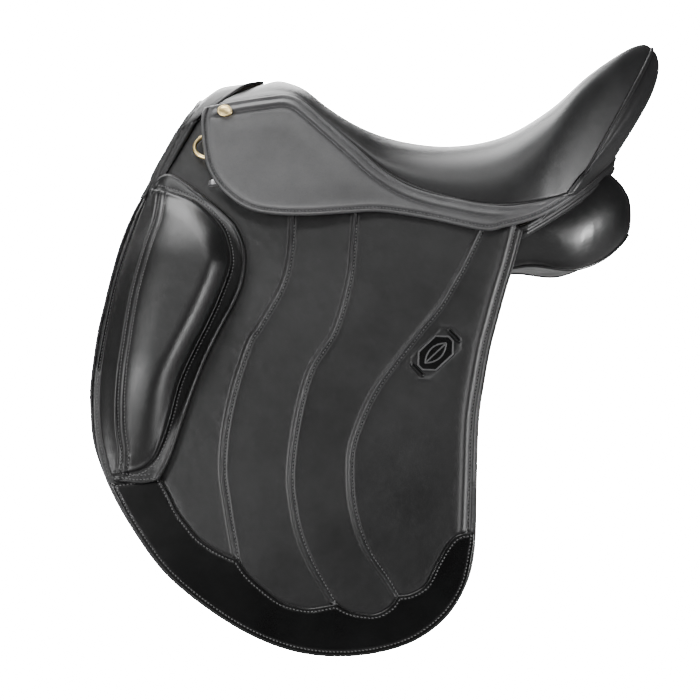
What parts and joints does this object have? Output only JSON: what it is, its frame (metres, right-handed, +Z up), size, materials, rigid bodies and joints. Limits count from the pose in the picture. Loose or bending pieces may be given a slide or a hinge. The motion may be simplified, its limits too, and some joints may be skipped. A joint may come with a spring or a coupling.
{
  "type": "english dressage saddle",
  "caption": "Black leather dressage saddle with a deep seat, long straight flaps, outside knee blocks, stirrup bars and girth straps.",
  "frame": {"origin": "on the mid-plane at the level where the panels bear on the horse's back, under the middle of the seat; the horse's back or a saddle stand holds the saddle up there", "axes": "+X towards the cantle, -X towards the pommel and the horse's head, +Y to the horse's right, +Z up"},
  "size_m": [0.5634, 0.4486, 0.599],
  "materials": {
    "leather": "black, fine grained, waxed to a low sheen",
    "seat_leather": "black, soft grained calf, satin",
    "patent_trim": "black, polished smooth",
    "strap_leather": "black bridle leather, waxed",
    "wood": "laminated beech, varnished",
    "steel": "forged and polished",
    "brass": "polished",
    "webbing": "plain woven linen web",
    "foam": "open-cell foam"
  },
  "bodies": {
    "saddle": {"bar_rivet_front_left": "steel", "bar_rivet_front_right": "steel", "bar_rivet_rear_left": "steel", "bar_rivet_rear_right": "steel", "cantle_cover": "seat_leather", "catch_pin_left": "steel", "catch_pin_right": "steel", "dee_staple_left": "strap_leather", "dee_staple_right": "strap_leather", "flap_top_left": "leather", "flap_top_right": "leather", "girth_web_front": "webbing", "girth_web_rear": "webbing", "head_plate": "steel", "knee_block_tip_left": "seat_leather", "knee_block_tip_right": "seat_leather", "panel_left": "leather", "panel_right": "leather", "point_pocket_left": "strap_leather", "point_pocket_right": "strap_leather", "pommel_facing": "seat_leather", "rear_facing": "leather", "saddle_nail_left": "brass", "saddle_nail_right": "brass", "seat_cover": "seat_leather", "seat_foam": "foam", "seat_web_left": "webbing", "seat_web_right": "webbing", "skirt_left": "seat_leather", "skirt_right": "seat_leather", "stirrup_bar_left": "steel", "stirrup_bar_right": "steel", "sweat_flap_left": "leather", "sweat_flap_right": "leather", "tree_cantle": "wood", "tree_head": "wood", "tree_rail_left": "wood", "tree_rail_right": "wood"},
    "flap_left": {"flap_left": "leather", "flap_trim_left": "patent_trim", "knee_block_left": "seat_leather"},
    "skirt_lobe_left": {"skirt_lobe_left": "seat_leather"},
    "bar_catch_left": {"bar_catch_left": "steel"},
    "dee_ring_left": {"dee_ring_left": "brass"},
    "girth_straps_left": {"girth_strap_front_left": "strap_leather", "girth_strap_rear_left": "strap_leather"},
    "buckle_guard_left": {"buckle_guard_left": "strap_leather"},
    "flap_right": {"flap_right": "leather", "flap_trim_right": "patent_trim", "knee_block_right": "seat_leather"},
    "skirt_lobe_right": {"skirt_lobe_right": "seat_leather"},
    "bar_catch_right": {"bar_catch_right": "steel"},
    "dee_ring_right": {"dee_ring_right": "brass"},
    "girth_straps_right": {"girth_strap_front_right": "strap_leather", "girth_strap_rear_right": "strap_leather"},
    "buckle_guard_right": {"buckle_guard_right": "strap_leather"}
  },
  "joints": [
    {"name": "flap_lift_left", "type": "hinge", "parent": "saddle", "child": "flap_left", "pos_m": [-0.0685, -0.13391, 0.045], "axis": [-0.978, 0.1941, 0.0758], "range_deg": [0, 55]},
    {"name": "skirt_lift_left", "type": "hinge", "parent": "saddle", "child": "skirt_lobe_left", "pos_m": [-0.1085, -0.12063, 0.108], "axis": [-0.8453, 0.3067, 0.4374], "range_deg": [0, 80]},
    {"name": "catch_turn_left", "type": "hinge", "parent": "saddle", "child": "bar_catch_left", "pos_m": [-0.12608, -0.10815, 0.09298], "axis": [-0.2234, -0.9187, 0.3256], "range_deg": [0, 75]},
    {"name": "dee_swing_left", "type": "hinge", "parent": "saddle", "child": "dee_ring_left", "pos_m": [-0.20047, -0.07935, 0.12911], "axis": [0.0923, 0.3399, 0.9359], "range_deg": [0, 20]},
    {"name": "strap_swing_left", "type": "hinge", "parent": "saddle", "child": "girth_straps_left", "pos_m": [-0.0595, -0.1197, 0.053], "axis": [-0.0971, -0.9711, 0.2181], "range_deg": [-6, 6]},
    {"name": "guard_slide_left", "type": "slide", "parent": "girth_straps_left", "child": "buckle_guard_left", "axis": [0, -0.2192, -0.9757], "range_m": [0, 0.08]},
    {"name": "flap_lift_right", "type": "hinge", "parent": "saddle", "child": "flap_right", "pos_m": [-0.0685, 0.13391, 0.045], "axis": [0.978, 0.1941, -0.0758], "range_deg": [0, 55]},
    {"name": "skirt_lift_right", "type": "hinge", "parent": "saddle", "child": "skirt_lobe_right", "pos_m": [-0.1085, 0.12063, 0.108], "axis": [0.8453, 0.3067, -0.4374], "range_deg": [0, 80]},
    {"name": "catch_turn_right", "type": "hinge", "parent": "saddle", "child": "bar_catch_right", "pos_m": [-0.12608, 0.10815, 0.09298], "axis": [0.2234, -0.9187, -0.3256], "range_deg": [0, 75]},
    {"name": "dee_swing_right", "type": "hinge", "parent": "saddle", "child": "dee_ring_right", "pos_m": [-0.20047, 0.07935, 0.12911], "axis": [-0.0923, 0.3399, -0.9359], "range_deg": [0, 20]},
    {"name": "strap_swing_right", "type": "hinge", "parent": "saddle", "child": "girth_straps_right", "pos_m": [-0.0595, 0.1197, 0.053], "axis": [-0.0971, 0.9711, 0.2181], "range_deg": [-6, 6]},
    {"name": "guard_slide_right", "type": "slide", "parent": "girth_straps_right", "child": "buckle_guard_right", "axis": [0, 0.2192, -0.9757], "range_m": [0, 0.08]}
  ]
}
